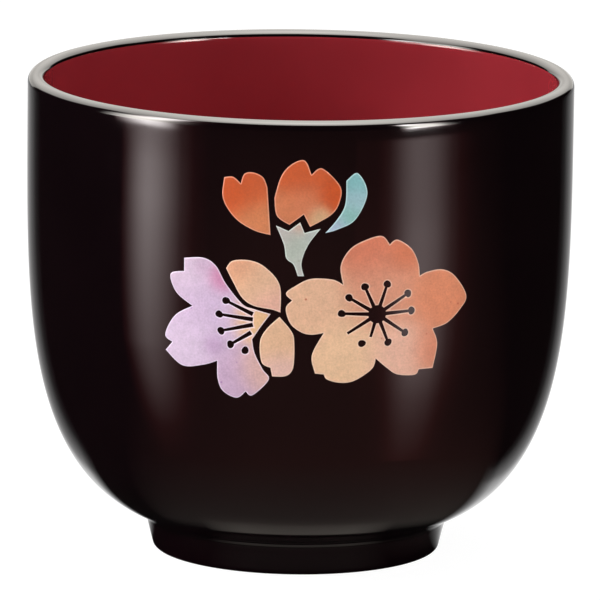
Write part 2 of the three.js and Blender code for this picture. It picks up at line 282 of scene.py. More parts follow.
@dataclass(frozen=True)
class CupForm:
    """The cup's sizes in millimetres and the curves that every piece takes from them."""

    mouth_radius: float = 31.2
    height: float = 54.9
    lip_thickness: float = 2.0
    floor_thickness: float = 3.2
    drop_power: float = 3.97
    reach_power: float = 3.48
    foot_radius: float = 16.35
    foot_lean: float = math.radians(14.5)
    foot_wall: float = 2.7
    foot_height: float = 3.4
    foot_edge: float = 0.5
    cove_radius: float = 2.0
    joint_angle: float = math.radians(30)
    spigot_height: float = 0.8
    spigot_fit: float = 0.05
    coat: float = 0.3
    bond: float = 0.03
    belly_steps: int = 96
    belly_crowding: float = 1.6
    cove_steps: int = 20
    foot_cove_steps: int = 16
    edge_steps: int = 10
    ground_points: int = 8
    wall_points: int = 6
    halvings: int = 50
    spray_drop: float = 21.9

    @property
    def lip_radius(self) -> float:
        """Radius of the lip's round."""
        return self.lip_thickness / 2

    @property
    def lip_level(self) -> float:
        """Height of the lip's centre line."""
        return self.height - self.lip_radius

    @property
    def well_ceiling(self) -> float:
        """Height of the lacquered ceiling inside the foot ring."""
        return self.foot_height - self.spigot_height - self.bond - self.coat

    @property
    def foot_inner(self) -> float:
        """Radius of the foot ring's inner wall."""
        return self.foot_radius - self.foot_wall

    @property
    def inner_reach(self) -> float:
        """Radius of the finished inner wall at the lip."""
        return self.mouth_radius - self.lip_thickness

    @property
    def inner_depth(self) -> float:
        """Depth of the finished inner curve below the lip's centre line."""
        return self.lip_level - self.well_ceiling - self.floor_thickness

    @property
    def cove_centre(self) -> Point:
        """Centre of the cove's arc, one cove radius off the foot's leaning wall."""
        level = self.foot_height - self.cove_radius * math.sin(self.joint_angle)
        return self.foot_line(level) + self.cove_radius / math.cos(self.foot_lean), level

    def foot_line(self, z: float) -> float:
        """Radius of the foot's leaning wall at a height."""
        return self.foot_radius + z * math.tan(self.foot_lean)

    def belly(self, reach: float, depth: float, angle: Array, inset: float) -> Array:
        """A bowl's curve: a quarter of a superellipse that hangs from the lip's centre line.

        With c = cos(angle) to the power 2/reach_power and s = sin(angle) to the power 2/drop_power, the point is
        (reach c, lip_level - depth s), moved back along its normal by the inset.

        Args:
            reach: radius at the lip.
            depth: drop from the lip's centre line to the middle of the floor.
            angle: 0 at the lip to a quarter turn at the floor's middle.
            inset: distance toward the axis, square to the curve.

        Returns:
            Rows of (r, z).
        """
        out = np.maximum(np.cos(angle), 0) ** (2 / self.reach_power)
        down = np.maximum(np.sin(angle), 0) ** (2 / self.drop_power)
        normal = np.stack(
            [
                self.reach_power / reach * out ** (self.reach_power - 1),
                -self.drop_power / depth * down ** (self.drop_power - 1),
            ],
            axis=-1,
        )
        normal /= np.linalg.norm(normal, axis=-1, keepdims=True)
        point = np.stack([out * reach, self.lip_level - down * depth], axis=-1) - normal * inset
        point[..., 0] = np.where(out < TINY, 0.0, point[..., 0])
        return point

    def belly_run(self, reach: float, depth: float, start: float, end: float, inset: float) -> Array:
        """The bowl's curve from one angle to another, its points crowded toward the lip by a power of their share."""
        share = (np.arange(self.belly_steps + 1) / self.belly_steps) ** self.belly_crowding
        return self.belly(reach, depth, start + (end - start) * share, inset)

    @cached_property
    def outer_curve(self) -> tuple[float, float]:
        """Depth of the outer curve and the angle where it runs into the cove.

        Both are found by halving: at that angle, the point one cove radius outside the curve is the cove's centre.
        """
        centre = self.cove_centre

        def halve(low: float, high: float, falling: Callable[[float], float]) -> float:
            """Halves a span until the falling function changes sign at its middle."""
            for _ in range(self.halvings):
                middle = (low + high) / 2
                low, high = (middle, high) if falling(middle) > 0 else (low, middle)
            return (low + high) / 2

        def cove_angle(depth: float) -> float:
            """Angle at which the offset curve lies over the cove's centre."""
            return halve(
                0,
                math.pi / 2,
                lambda a: self.belly(self.mouth_radius, depth, np.array(a), -self.cove_radius)[0] - centre[0],
            )

        depth = halve(
            0,
            2 * self.height,
            lambda d: self.belly(self.mouth_radius, d, np.array(cove_angle(d)), -self.cove_radius)[1] - centre[1],
        )
        return depth, cove_angle(depth)

    def angle_at_drop(self, drop: float, depth: float) -> float:
        """Angle at which a bowl's curve lies a given drop below the lip's centre line."""
        return math.asin((drop / depth) ** (self.drop_power / 2))

    def wall_radius(self, z: Array) -> Array:
        """Radius of the finished outer wall at heights: reach times (1 - (drop / depth)^drop_power)^(1/reach_power)."""
        down = np.maximum(0, (self.lip_level - z) / self.outer_curve[0])
        return self.mouth_radius * (1 - down**self.drop_power) ** (1 / self.reach_power)

    def cove_to(self, level: float, inset: float) -> Array:
        """The cove's arc, from where the bowl runs into it down to a level."""
        centre, radius = self.cove_centre, self.cove_radius + inset
        meet = self.belly(self.mouth_radius, self.outer_curve[0], np.array(self.outer_curve[1]), 0)
        start = math.atan2(meet[1] - centre[1], meet[0] - centre[0])
        end = math.pi - math.asin((level - centre[1]) / radius)
        return arc(centre, radius, start, end, self.cove_steps)[1:]

    def foot_section(self, top: float, inner_top: float, inset: float) -> Array:
        """The foot below its joint: the cove, the leaning wall, the rounded ground face and the inner wall.

        Args:
            top: the level where the cove starts.
            inner_top: the level where the inner wall ends.
            inset: distance into the ring, square to its surface.

        Returns:
            Rows of (r, z), from the joint round the ground to the inner wall's top.
        """
        radius = self.cove_radius + inset
        start = math.pi - math.asin((top - self.cove_centre[1]) / radius)
        edge = self.foot_edge - inset
        outer_edge = self.foot_line(self.foot_edge) - self.foot_edge / math.cos(self.foot_lean)
        inner_edge = self.foot_inner + self.foot_edge
        down = -math.pi / 2
        cove = arc(self.cove_centre, radius, start, math.pi - self.foot_lean, self.foot_cove_steps)
        outer_round = arc((outer_edge, self.foot_edge), edge, -self.foot_lean, down, self.edge_steps)
        ground = np.linspace(outer_round[-1], [inner_edge, self.foot_edge - edge], self.ground_points)[1:-1]
        inner_round = arc((inner_edge, self.foot_edge), edge, down, -math.pi, self.edge_steps)
        wall = np.linspace(inner_round[-1], [self.foot_inner + inset, inner_top], self.wall_points)[1:]
        return np.vstack([cove, outer_round, ground, inner_round, wall])


class Bench:
    """Adds nodes to one material's or world's tree and joins them."""

    def __init__(self, tree: bpy.types.NodeTree) -> None:
        """Starts on an empty tree."""
        tree.nodes.clear()
        self.tree = tree

    def add(self, kind: str, inputs: dict | None = None, **settings) -> bpy.types.Node:
        """Adds a node.

        Args:
            kind: the node's type name, without the leading ShaderNode.
            inputs: values or sockets by input name or number.
            settings: the node's own settings.

        Returns:
            The node.
        """
        node = self.tree.nodes.new("ShaderNode" + kind)
        for key, value in settings.items():
            setattr(node, key, value)
        for key, value in (inputs or {}).items():
            if isinstance(value, Socket):
                self.tree.links.new(value, node.inputs[key])
            else:
                node.inputs[key].default_value = value
        return node

    def noise(self, size: float, detail: float, where: Socket) -> Socket:
        """A noise whose blobs are about a size in millimetres across."""
        node = self.add("TexNoise", {"Scale": 1 / (size * MM), "Detail": detail, "Vector": where})
        return node.outputs["Fac"]

    def specks(self, where: Socket, spacing: float, share: float, edge: Point, strength: float) -> Socket:
        """Round specks, one in a random share of the cells.

        Args:
            where: the coordinates.
            spacing: the cells' size in millimetres.
            share: how many cells hold a speck.
            edge: distances from a cell's middle, in cells, at which the speck starts and ends to fade.
            strength: the speck's value.

        Returns:
            The specks' value, 0 between them.
        """
        cells = self.add("TexVoronoi", {"Scale": 1 / (spacing * MM), "Vector": where, "Randomness": 1.0})
        pick = self.add("SeparateColor", {0: cells.outputs["Color"]}).outputs[0]
        chosen = self.math("GREATER_THAN", pick, 1 - share)
        return self.math("MULTIPLY", chosen, self.map(cells.outputs["Distance"], *edge, strength, 0))

    def map(self, value: Socket, low: float, high: float, to_low: float, to_high: float):
        """Maps a value's span onto another, held at its ends."""
        node = self.add(
            "MapRange", {"Value": value, "From Min": low, "From Max": high, "To Min": to_low, "To Max": to_high}
        )
        return node.outputs["Result"]

    def curve(self, value: Socket, corners: tuple[Point, ...]) -> Socket:
        """Reads a curve of straight spans, given by its corners from left to right, and held at its ends."""
        low, high = corners[0][0], corners[-1][0]
        node = self.add("ValToRGB", {"Fac": self.map(value, low, high, 0, 1)})
        stops = node.color_ramp.elements
        for place, _ in corners[1:-1]:
            stops.new((place - low) / (high - low))
        for stop, (_, height) in zip(stops, corners):
            stop.color = (height, height, height, 1)
        return node.outputs["Color"]

    def math(self, operation: str, first, second) -> Socket:
        """One arithmetic step on two numbers or sockets."""
        return self.add("Math", {0: first, 1: second}, operation=operation).outputs[0]

    def emission(self, colour, strength) -> Socket:
        """A shader that gives off light."""
        return self.add("Emission", {"Color": colour, "Strength": strength}).outputs[0]

    def matt(self, grey: float) -> Socket:
        """A plain matt grey shader."""
        return self.add("BsdfDiffuse", {"Color": (grey, grey, grey, 1)}).outputs[0]

    def sum(self, first: Socket, second: Socket) -> Socket:
        """Two shaders together."""
        return self.add("AddShader", {0: first, 1: second}).outputs[0]

    def switch(self, share, first: Socket, second: Socket) -> Socket:
        """The first shader at a share of 0 and the second at 1."""
        return self.add("MixShader", {0: share, 1: first, 2: second}).outputs[0]

    def surface(self, **inputs) -> None:
        """Ends the tree in a principled shader. An input's name has underscores in place of spaces."""
        shader = self.add("BsdfPrincipled", {name.replace("_", " "): value for name, value in inputs.items()})
        self.add("OutputMaterial", {"Surface": shader.outputs[0]})

    def mix(self, share, first, second, blend: str = "MIX") -> Socket:
        """Blends two colours by a share."""
        return self.add("Mix", {0: share, 6: first, 7: second}, data_type="RGBA", blend_type=blend).outputs[2]

    def bump(self, height: Socket, depth: float, under: Socket | None = None):
        """A bump of a depth in millimetres, laid over another one."""
        node = self.add("Bump", {"Height": height, "Distance": depth * MM, "Strength": 1.0})
        if under is not None:
            self.tree.links.new(under, node.inputs["Normal"])
        return node.outputs["Normal"]


def new_material(name: str) -> tuple[Material, Bench]:
    """An empty node material and the bench to fill it on."""
    material = bpy.data.materials.new(name)
    material.use_nodes = True
    return material, Bench(material.node_tree)


@dataclass(frozen=True)
class Finish:
    """What a surface is finished with. Each kind of finish paints its own nodes."""

    name: str

    def material(self) -> Material:
        """Makes the node material, painted on the piece's own coordinates."""
        material, bench = new_material(self.name)
        self.paint(bench, bench.add("TexCoord").outputs["Object"])
        return material

    def paint(self, bench: Bench, where: Socket) -> None:
        """Fills a material's tree.

        Args:
            bench: the bench over the empty tree.
            where: the coordinates, in metres.
        """
        raise NotImplementedError


@dataclass(frozen=True)
class LacquerFinish(Finish):
    """Polished lacquer: a deep colour that drifts slightly, a faint ripple, rare dust under the skin, soft wear."""

    colour: Colour
    drift_colour: Colour
    roughness: float = 0.05
    ripple: float = 0.0012
    worn_below: float = 0.0
    worn_colour: Colour = (60, 34, 26)
    shine: float = 0.5
    dust_spacing: float = 2.3
    dust_share: float = 0.14
    nib: float = 0.004

    def paint(self, bench: Bench, where: Socket) -> None:
        """Fills the material's tree."""
        drift = bench.map(bench.noise(14, 3, where), 0.35, 0.65, 0, 1)
        colour = bench.mix(drift, linear(self.colour), linear(self.drift_colour))
        haze = bench.map(bench.noise(4, 5, where), 0.35, 0.75, self.roughness, self.roughness * 1.7)
        nib = bench.specks(where, self.dust_spacing, self.dust_share, (0.02, 0.06), 1)
        if self.worn_below:
            height = bench.add("SeparateXYZ", {0: where}).outputs["Z"]
            rub = bench.math("MULTIPLY", bench.map(height, 0, self.worn_below * MM, 1, 0), bench.noise(0.5, 6, where))
            rub = bench.map(rub, 0.3, 0.62, 0, 1)
            colour = bench.mix(rub, colour, linear(self.worn_colour))
            haze = bench.math("ADD", haze, bench.math("MULTIPLY", rub, 0.3))
        ripple = bench.bump(bench.noise(5, 2, where), self.ripple)
        skin = bench.bump(nib, self.nib, ripple)
        bench.surface(Base_Color=colour, Roughness=haze, Normal=skin, IOR=1.5, Specular_IOR_Level=self.shine)


@dataclass(frozen=True)
class WoodFinish(Finish):
    """Plain turned wood under the lacquer: year rings round an off-centre pith, and fine fibres."""

    early: Colour = (196, 158, 112)
    late: Colour = (150, 108, 70)

    def paint(self, bench: Bench, where: Socket) -> None:
        """Fills the material's tree."""
        pith = {"Location": (0.05, 0.01, 0), "Rotation": (0.2, 0.1, 0.4)}
        laid = bench.add("Mapping", {"Vector": where, **pith}).outputs[0]
        wave = {"Vector": laid, "Scale": 150.0, "Distortion": 2.5, "Detail": 3.0, "Detail Scale": 1.4}
        rings = bench.add("TexWave", wave, wave_type="RINGS", rings_direction="Z").outputs["Fac"]
        stretched = bench.add("Mapping", {"Vector": where, "Scale": (1, 1, 0.12)}).outputs[0]
        fibre = bench.noise(0.35, 6, stretched)
        grain = bench.mix(bench.map(rings, 0.25, 0.85, 0, 1), linear(self.early), linear(self.late))
        colour = bench.mix(bench.map(fibre, 0.3, 0.7, 0, 0.45), grain, linear(self.late))
        normal = bench.bump(fibre, 0.02)
        rough = bench.map(fibre, 0.3, 0.7, 0.55, 0.75)
        bench.surface(Base_Color=colour, Roughness=rough, Normal=normal)


@dataclass(frozen=True)
class FilmFinish(Finish):
    """Powdered colour laid on the lacquer.

    It reads two attributes of its film: `wash`, the soft colours of the drawing, and `edge`, the distance to the
    film's edge in millimetres, which gives the pale outline.
    """

    rim_colour: Colour
    speck_colour: Colour
    speck_share: float = 0.06
    speck_spacing: float = 0.85
    rim: float = 0.16
    mottle: float = 0.11

    def paint(self, bench: Bench, where: Socket) -> None:
        """Fills the material's tree."""
        wash = bench.add("Attribute", attribute_name="wash").outputs["Color"]
        edge = bench.add("Attribute", attribute_name="edge").outputs["Fac"]
        powder = bench.noise(0.22, 3, where)
        cloud = bench.noise(1.3, 4, where)
        powdered = bench.math("ADD", powder, bench.math("MULTIPLY", cloud, 0.8))
        value = bench.map(powdered, 0.65, 1.15, 1 - self.mottle, 1 + self.mottle)
        colour = bench.mix(1.0, wash, bench.add("CombineColor", {0: value, 1: value, 2: value}).outputs[0], "MULTIPLY")
        speck = bench.specks(where, self.speck_spacing, self.speck_share, (0.1, 0.2), 0.75)
        colour = bench.mix(speck, colour, linear(self.speck_colour))
        outline = bench.map(edge, self.rim * 0.45, self.rim, 0.55, 0)
        colour = bench.mix(outline, colour, linear(self.rim_colour))
        rough = bench.map(powder, 0.3, 0.7, 0.42, 0.6)
        normal = bench.bump(powder, 0.006)
        bench.surface(Base_Color=colour, Roughness=rough, Normal=normal, Specular_IOR_Level=0.3)


def settle(piece: Piece, node: str, material: Material) -> None:
    """Dresses a piece and gives it its place in the frame.

    Args:
        piece: the new piece.
        node: the CAD node that it stands for.
        material: what it is dressed in.
    """
    piece.data.materials.append(material)
    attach(piece, BODY)
    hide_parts(node)


@dataclass(frozen=True)
class Bowl:
    """The turned bowl, its black and red coats and the black band over its lip."""

    form: CupForm
    turns: int = 256
    band_outside: float = 1.5
    band_end: float = math.radians(18)
    joint_round: float = 0.05
    lip_steps: int = 36
    hidden_steps: int = 12
    climb_steps: int = 8
    hidden_climb_steps: int = 4

    @property
    def lip_centre(self) -> Point:
        """Centre of the lip's round."""
        return self.form.mouth_radius - self.form.lip_radius, self.form.lip_level

    def core(self) -> Piece:
        """The wooden bowl as it leaves the lathe, a coat and a bond smaller than the cup, with its spigot."""
        form = self.form
        inset = form.coat + form.bond
        floor = form.well_ceiling + inset
        spigot = form.foot_inner + inset - form.spigot_fit
        depth, end = form.outer_curve
        section = np.vstack(
            [
                [[0, floor], [spigot, floor], [spigot, form.foot_height]],
                form.cove_to(form.foot_height, inset)[::-1],
                form.belly_run(form.mouth_radius, depth, 0, end, inset)[::-1],
                arc(self.lip_centre, form.lip_radius - inset, 0, math.pi, self.hidden_steps)[1:-1],
                form.belly_run(form.inner_reach, form.inner_depth, 0, math.pi / 2, -inset),
            ]
        )
        return turned("turned_bowl", section, self.turns)

    def outside(self) -> Piece:
        """The black coat from the band's edge down into the cove, its end at the joint eased over by a hair."""
        form = self.form
        depth, end = form.outer_curve
        start = form.angle_at_drop(self.band_outside, depth)
        mouth, foot = form.mouth_radius, form.foot_height
        face, back = (
            np.vstack([form.belly_run(mouth, depth, start, end, inset), form.cove_to(foot, inset)])
            for inset in (0, form.coat)
        )
        return turned("outside_black_lacquer", np.vstack([back, self.eased(face)[::-1]]), self.turns)

    def eased(self, face: Array) -> Array:
        """Rounds the coat's last corner at the joint: the last point is drawn a hair back and in."""
        along = face[-1] - face[-2]
        along = along / np.linalg.norm(along)
        inward = np.array([along[1], -along[0]])
        tip = face[-1] - along * self.joint_round
        rounded = [
            tip + along * self.joint_round * math.sin(a) + inward * self.joint_round * (1 - math.cos(a))
            for a in np.linspace(0, math.pi / 2, 5)
        ]
        return np.vstack([face[:-1], rounded])

    def inside(self) -> Piece:
        """The red coat inside. It climbs the lip's inner side to the band's sharp edge and runs down to the middle of
        the floor."""
        form = self.form
        climb = math.pi - self.band_end + form.bond / form.lip_radius
        back_climb = arc(self.lip_centre, form.lip_radius - form.coat, math.pi, climb, self.hidden_climb_steps)[1:]
        face_climb = arc(self.lip_centre, form.lip_radius, climb, math.pi, self.climb_steps)[:-1]
        face, back = (
            form.belly_run(form.inner_reach, form.inner_depth, 0, math.pi / 2, -inset) for inset in (0, form.coat)
        )
        return turned("inside_red_lacquer", np.vstack([back[::-1], back_climb, face_climb, face]), self.turns)

    def band(self) -> Piece:
        """The black band, up from its outer edge and over the lip's round to where it stops on the inner side."""
        form = self.form
        low = form.lip_level - self.band_outside
        end = math.pi - self.band_end
        face, back = (
            np.vstack(
                [[[form.mouth_radius - inset, low]], arc(self.lip_centre, form.lip_radius - inset, 0, end, steps)]
            )
            for inset, steps in ((0, self.lip_steps), (form.coat, self.hidden_steps))
        )
        return turned("lip_band_black_lacquer", np.vstack([face, back[::-1]]), self.turns)

    def build(self, wood: Material, black: Material, red: Material) -> None:
        """Builds the bowl's four pieces, the core in wood, the outside and the band in black, the inside in red."""
        settle(self.core(), "bowl_core", wood)
        settle(self.outside(), "outer_black_coat", black)
        settle(self.inside(), "inner_red_coat", red)
        settle(self.band(), "lip_black_band", black)


@dataclass(frozen=True)
class Foot:
    """The foot ring under the bowl, its coat and the coat of the well inside it."""

    form: CupForm
    turns: int = 256
    disc_points: int = 12

    def core(self) -> Piece:
        """The wooden ring, a coat and a bond smaller than the foot."""
        top = self.form.foot_height - self.form.bond
        section = self.form.foot_section(top, top, self.form.coat + self.form.bond)
        return turned("turned_foot_ring", section[::-1], self.turns)

    def coat(self) -> Piece:
        """The black coat over the cove, the wall, the ground face and the well's side."""
        form = self.form
        top = form.foot_height - form.bond
        inner_top = form.well_ceiling + form.coat
        face, back = (form.foot_section(top, inner_top, inset) for inset in (0, form.coat))
        return turned("foot_black_lacquer", np.vstack([back, face[::-1]]), self.turns)

    def ceiling(self) -> Piece:
        """The disc of black lacquer under the bowl, inside the ring."""
        form = self.form
        run = np.linspace(0, form.foot_inner - form.bond, self.disc_points)
        low, high = (np.full(len(run), form.well_ceiling + lift) for lift in (0, form.coat))
        section = np.concatenate([np.stack([run, low], axis=1), np.stack([run[::-1], high], axis=1)])
        return turned("well_black_lacquer", section, self.turns)

    def build(self, wood: Material, black: Material) -> None:
        """Builds the foot's three pieces, the ring in wood and its coats in black."""
        settle(self.core(), "foot_ring_core", wood)
        settle(self.coat(), "foot_black_coat", black)
        settle(self.ceiling(), "base_black_coat", black)


@dataclass(frozen=True)
class Wash:
    """A soft patch of colour: where it lies on the drawing, how far it spreads in millimetres, and its colour."""

    at: Point
    spread: float
    colour: Colour


@dataclass(frozen=True)
class Drawing:
    """One film as it lies unrolled: along the wall from the front's middle, and up from the blossoms' centre line.

    An outline is a list of stretches. Each runs on from the last as one smooth curve and ends in a corner.
    """

    piece: str
    node: str
    slot: Slot
    outline: tuple[tuple[Point, ...], ...]
    washes: tuple[Wash, ...]
    hub: Point | None = None
    anthers: tuple[Point, ...] = ()
    filaments: tuple[tuple[Point, Point], ...] = ()


@dataclass(frozen=True)
class Film:
    """Cuts one film from its drawing and lays it on the wall. Millimetres."""

    form: CupForm
    drawing: Drawing
    proud: float = 0.05
    sunk: float = 0.02
    soft_edge: float = 0.12
    boundary_spacing: float = 0.11
    grid: float = 0.3
    hub_radius: float = 1.05
    anther_radius: float = 0.43
    filament_root: float = 0.5
    filament_tip: float = 0.3
    edge_lift: float = 0.01
    spline_steps: int = 12
    anther_steps: int = 28
    hub_steps: int = 56
    rows: tuple[float, ...] = (0.4, 1.0, 1.9)
    row_clearance: float = 0.93
    lattice_clearance: float = 2.6
    crease: float = 50.0

    def outline(self) -> Array:
        """The film's outline: a closed, evenly spaced loop, counterclockwise."""
        last = self.drawing.outline[0][0]
        runs = [np.array([last], float)]
        for stretch in self.drawing.outline[1:]:
            runs.append(spline_through([last, *stretch], self.spline_steps))
            last = stretch[-1]
        loop = evenly(np.vstack(runs), self.boundary_spacing)
        after = ahead(loop)
        area = (loop[:, 0] * after[:, 1] - after[:, 0] * loop[:, 1]).sum()
        return loop if area > 0 else loop[::-1]

    def stamens(self) -> list[Array]:
        """Loops of the dark stamens that are left bare: the hub, tapered filaments and round anthers."""
        loops = []
        for tip, root in self.drawing.filaments:
            start, end = np.array(root, float), np.array(tip, float)
            side = (end - start) / np.linalg.norm(end - start) @ np.array([[0, 1], [-1, 0]])
            wide, thin = side * self.filament_root / 2, side * self.filament_tip / 2
            loops.append(evenly(np.array([start - wide, end - thin, end + thin, start + wide]), self.boundary_spacing))
        circle = np.linspace(0, 2 * np.pi, self.anther_steps, endpoint=False)
        for number, centre in enumerate(self.drawing.anthers):
            wobble = 1 + 0.07 * np.cos(2 * circle + number) + 0.04 * np.cos(3 * circle + 2 * number)
            ring = np.stack([np.cos(circle), np.sin(circle)], axis=1) * self.anther_radius * wobble[:, None]
            loops.append(ring + np.array(centre))
        if self.drawing.hub:
            circle = np.linspace(0, 2 * np.pi, self.hub_steps, endpoint=False)
            ring = np.stack([np.cos(circle), np.sin(circle)], axis=1) * self.hub_radius
            loops.append(ring + np.array(self.drawing.hub))
        return loops

    def scatter(self, outline: Array, stamens: list[Array]) -> Array:
        """Inner points: rows that follow the edges, so that the film rounds over there, and a hexagonal grid.

        Args:
            outline: the film's outline.
            stamens: the loops left bare.

        Returns:
            Points inside the film, clear of its edges and of each other.
        """
        loops = [outline, *stamens]
        kept = []
        for offset in self.rows:
            reach = self.soft_edge * offset
            rows = []
            for loop in loops:
                tangent = ahead(loop) - np.roll(loop, 1, axis=0)
                tangent /= np.maximum(np.linalg.norm(tangent, axis=1, keepdims=True), NO_LENGTH)
                normal = np.stack([-tangent[:, 1], tangent[:, 0]], axis=1) * (1 if loop is outline else -1)
                rows.append((loop + normal * reach)[:: 1 if offset < 1 else 2])
            rows = np.vstack(rows)
            clear = edge_distance(rows, loops) > reach * self.row_clearance
            kept.append(rows[self.within(rows, outline, stamens) & clear])
        low, high = outline.min(axis=0), outline.max(axis=0)
        x = np.arange(low[0], high[0], self.grid)
        y = np.arange(low[1], high[1], self.grid * math.sqrt(0.75))
        lattice = np.stack(np.meshgrid(x, y), axis=2)
        lattice[1::2, :, 0] += self.grid / 2
        lattice = lattice.reshape(-1, 2)
        lattice = lattice[self.within(lattice, outline, stamens)]
        kept.append(lattice[edge_distance(lattice, loops) > self.soft_edge * self.lattice_clearance])
        return np.vstack(kept)

    def within(self, points: Array, outline: Array, stamens: list[Array]) -> Array:
        """Whether points lie on the film: in its outline and in no stamen."""
        held = inside(points, outline)
        for loop in stamens:
            held &= ~inside(points, loop)
        return held

    def colours(self, flat: Array) -> Array:
        """Colour of each point: the washes' linear colours, weighted by exp(-(distance / spread)^2) and made to add
        up to 1."""
        centres = np.array([wash.at for wash in self.drawing.washes])
        spreads = np.array([wash.spread for wash in self.drawing.washes])
        tones = np.array([linear(wash.colour) for wash in self.drawing.washes])
        distance = np.linalg.norm(flat[:, None, :] - centres[None], axis=2)
        weight = np.exp(-((distance / spreads) ** 2)) + TINY
        return (weight @ tones) / weight.sum(axis=1, keepdims=True)

    def roll(self, flat: Array, lift: Array) -> Array:
        """Lays flat points on the wall: (u, v) goes to the angle u / mouth radius and the height v above the
        blossoms' centre line, at the wall's radius there plus the lift."""
        height = self.form.height - self.form.spray_drop + flat[:, 1]
        radius = self.form.wall_radius(height) + lift
        angle = flat[:, 0] / self.form.mouth_radius
        return np.stack([radius * np.sin(angle), -radius * np.cos(angle), height], axis=1)

    def build(self, material: Material) -> None:
        """Cuts, rolls and dresses the film.

        Its face rises over the soft edge in a quarter round, from the edge's lift to its full height: with d the
        distance to the edge over the soft edge's width, at most 1, by the share sqrt(1 - (1 - d)^2).

        Args:
            material: the film's material.
        """
        outline, stamens = self.outline(), self.stamens()
        loops = [outline, *stamens]
        starts = np.cumsum([0] + [len(loop) for loop in loops])
        points = np.vstack([*loops, self.scatter(outline, stamens)])
        rings = [list(range(a, b)) for a, b in zip(starts[:-1], starts[1:])]
        corners, _, faces, _, _, sources = delaunay_2d_cdt([Vector(p) for p in points], [], rings, 1, 1e-5)
        flat = np.array([tuple(c) for c in corners])
        kept = np.array([face for face, source in zip(faces, sources) if list(source) == [0]])
        used, kept = np.unique(kept, return_inverse=True)
        flat, kept = flat[used], kept.reshape(-1, 3)
        a, b, c = (flat[kept[:, k]] for k in range(3))
        turn = (b[:, 0] - a[:, 0]) * (c[:, 1] - a[:, 1]) - (b[:, 1] - a[:, 1]) * (c[:, 0] - a[:, 0])
        kept = np.where((turn > 0)[:, None], kept, kept[:, ::-1])
        distance = edge_distance(flat, loops)
        share = np.minimum(1, distance / self.soft_edge)
        lift = self.edge_lift + (self.proud - self.edge_lift) * np.sqrt(1 - (1 - share) ** 2)
        top, under = self.roll(flat, lift), self.roll(flat, np.full(len(flat), -self.sunk))
        sides = np.vstack([kept[:, [0, 1]], kept[:, [1, 2]], kept[:, [2, 0]]])
        count = len(flat)
        codes, back_codes = sides[:, 0] * count + sides[:, 1], sides[:, 1] * count + sides[:, 0]
        rim = sides[~np.isin(codes, back_codes)]
        walls = np.stack([rim[:, 1], rim[:, 0], rim[:, 0] + count, rim[:, 1] + count], axis=1)
        faces = kept.tolist() + (kept[:, ::-1] + count).tolist() + walls.tolist()
        piece = make_object(self.drawing.piece, np.vstack([top, under]), faces, self.crease)
        wash = piece.data.color_attributes.new("wash", "FLOAT_COLOR", "POINT")
        wash.data.foreach_set("color", np.tile(self.colours(flat), (2, 1)).astype(np.float32).ravel())
        edge = piece.data.attributes.new("edge", "FLOAT", "POINT")
        edge.data.foreach_set("value", np.tile(np.minimum(distance, 2), 2).astype(np.float32))
        settle(piece, self.drawing.node, material)


RIGHT_STAMENS = ((7.5, 3.2), (10.1, 3.4), (12.6, 2.2), (13.1, 0.2), (12.4, -2.3), (10.4, -3.3))
LEFT_ANTHERS = ((-8.2, 1.4), (-9.0, -0.2), (-8.8, -2.1), (-7.7, -3.6), (-6.0, -4.2))

